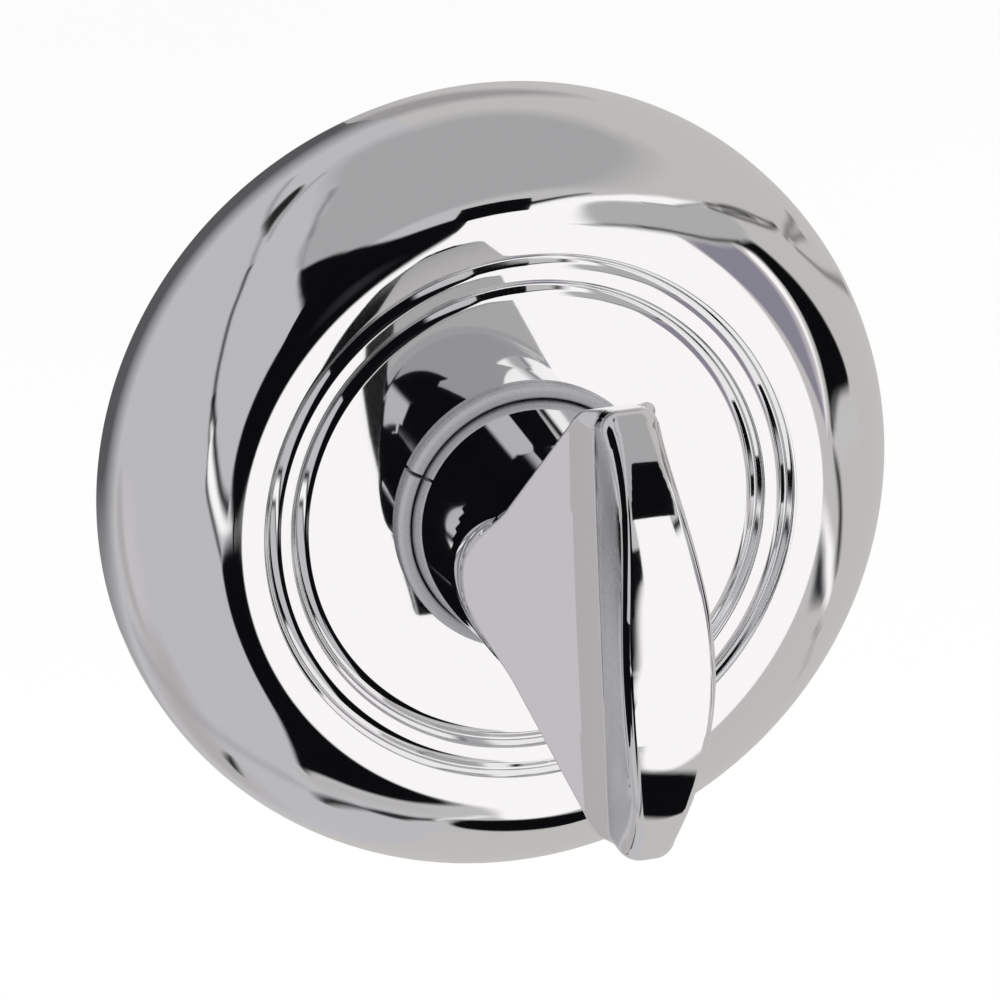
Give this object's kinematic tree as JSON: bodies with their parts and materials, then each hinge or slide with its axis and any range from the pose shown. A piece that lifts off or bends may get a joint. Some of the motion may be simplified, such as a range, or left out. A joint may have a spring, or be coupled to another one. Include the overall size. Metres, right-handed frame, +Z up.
{
  "type": "bathroom thumb turn lock",
  "caption": "Round domed rose with a fan-shaped thumb turn on a square spindle, for working a bathroom door's mortice lock from inside.",
  "frame": {"origin": "on the turn's axis in the door face, which is the flat back of the base plate", "axes": "Y is the turn's axis, with the thumb turn towards -Y and the spindle towards +Y, into the door; +Z is up, along the blade at rest; +X is to the right seen from the front"},
  "size_m": [0.052, 0.0841, 0.052],
  "materials": {
    "polished_chrome": "mirror-polished chrome plate on pressed brass",
    "chrome_casting": "mirror-polished chrome plate on a zinc casting",
    "grey_nylon": "pale grey moulded nylon, satin",
    "zinc_casting": "bare zinc die casting, dull",
    "spring_steel": "plain spring steel, satin",
    "black_spring_steel": "phosphated spring steel, dark",
    "plated_steel": "bright zinc-plated steel",
    "white_acetal": "natural white acetal, satin",
    "black_nylon": "black moulded nylon, satin",
    "screw_steel": "zinc-plated steel, cross recess"
  },
  "bodies": {
    "rose": {"cover_rose": "polished_chrome", "neck_bush": "grey_nylon", "base_plate": "zinc_casting", "cover_snap_ring": "spring_steel", "bearing_bush": "white_acetal", "wood_screws": "screw_steel"},
    "turn": {"thumb_turn": "chrome_casting", "thrust_washer": "plated_steel", "backing_washer": "plated_steel", "wave_washer": "spring_steel", "circlip": "black_spring_steel", "spindle": "plated_steel", "spindle_roll_pin": "spring_steel", "spindle_sleeve": "black_nylon"}
  },
  "joints": [
    {"name": "turn", "type": "hinge", "parent": "rose", "child": "turn", "pos_m": [0, 0, 0], "axis": [0, 1, 0], "range_deg": [0, 90]}
  ]
}
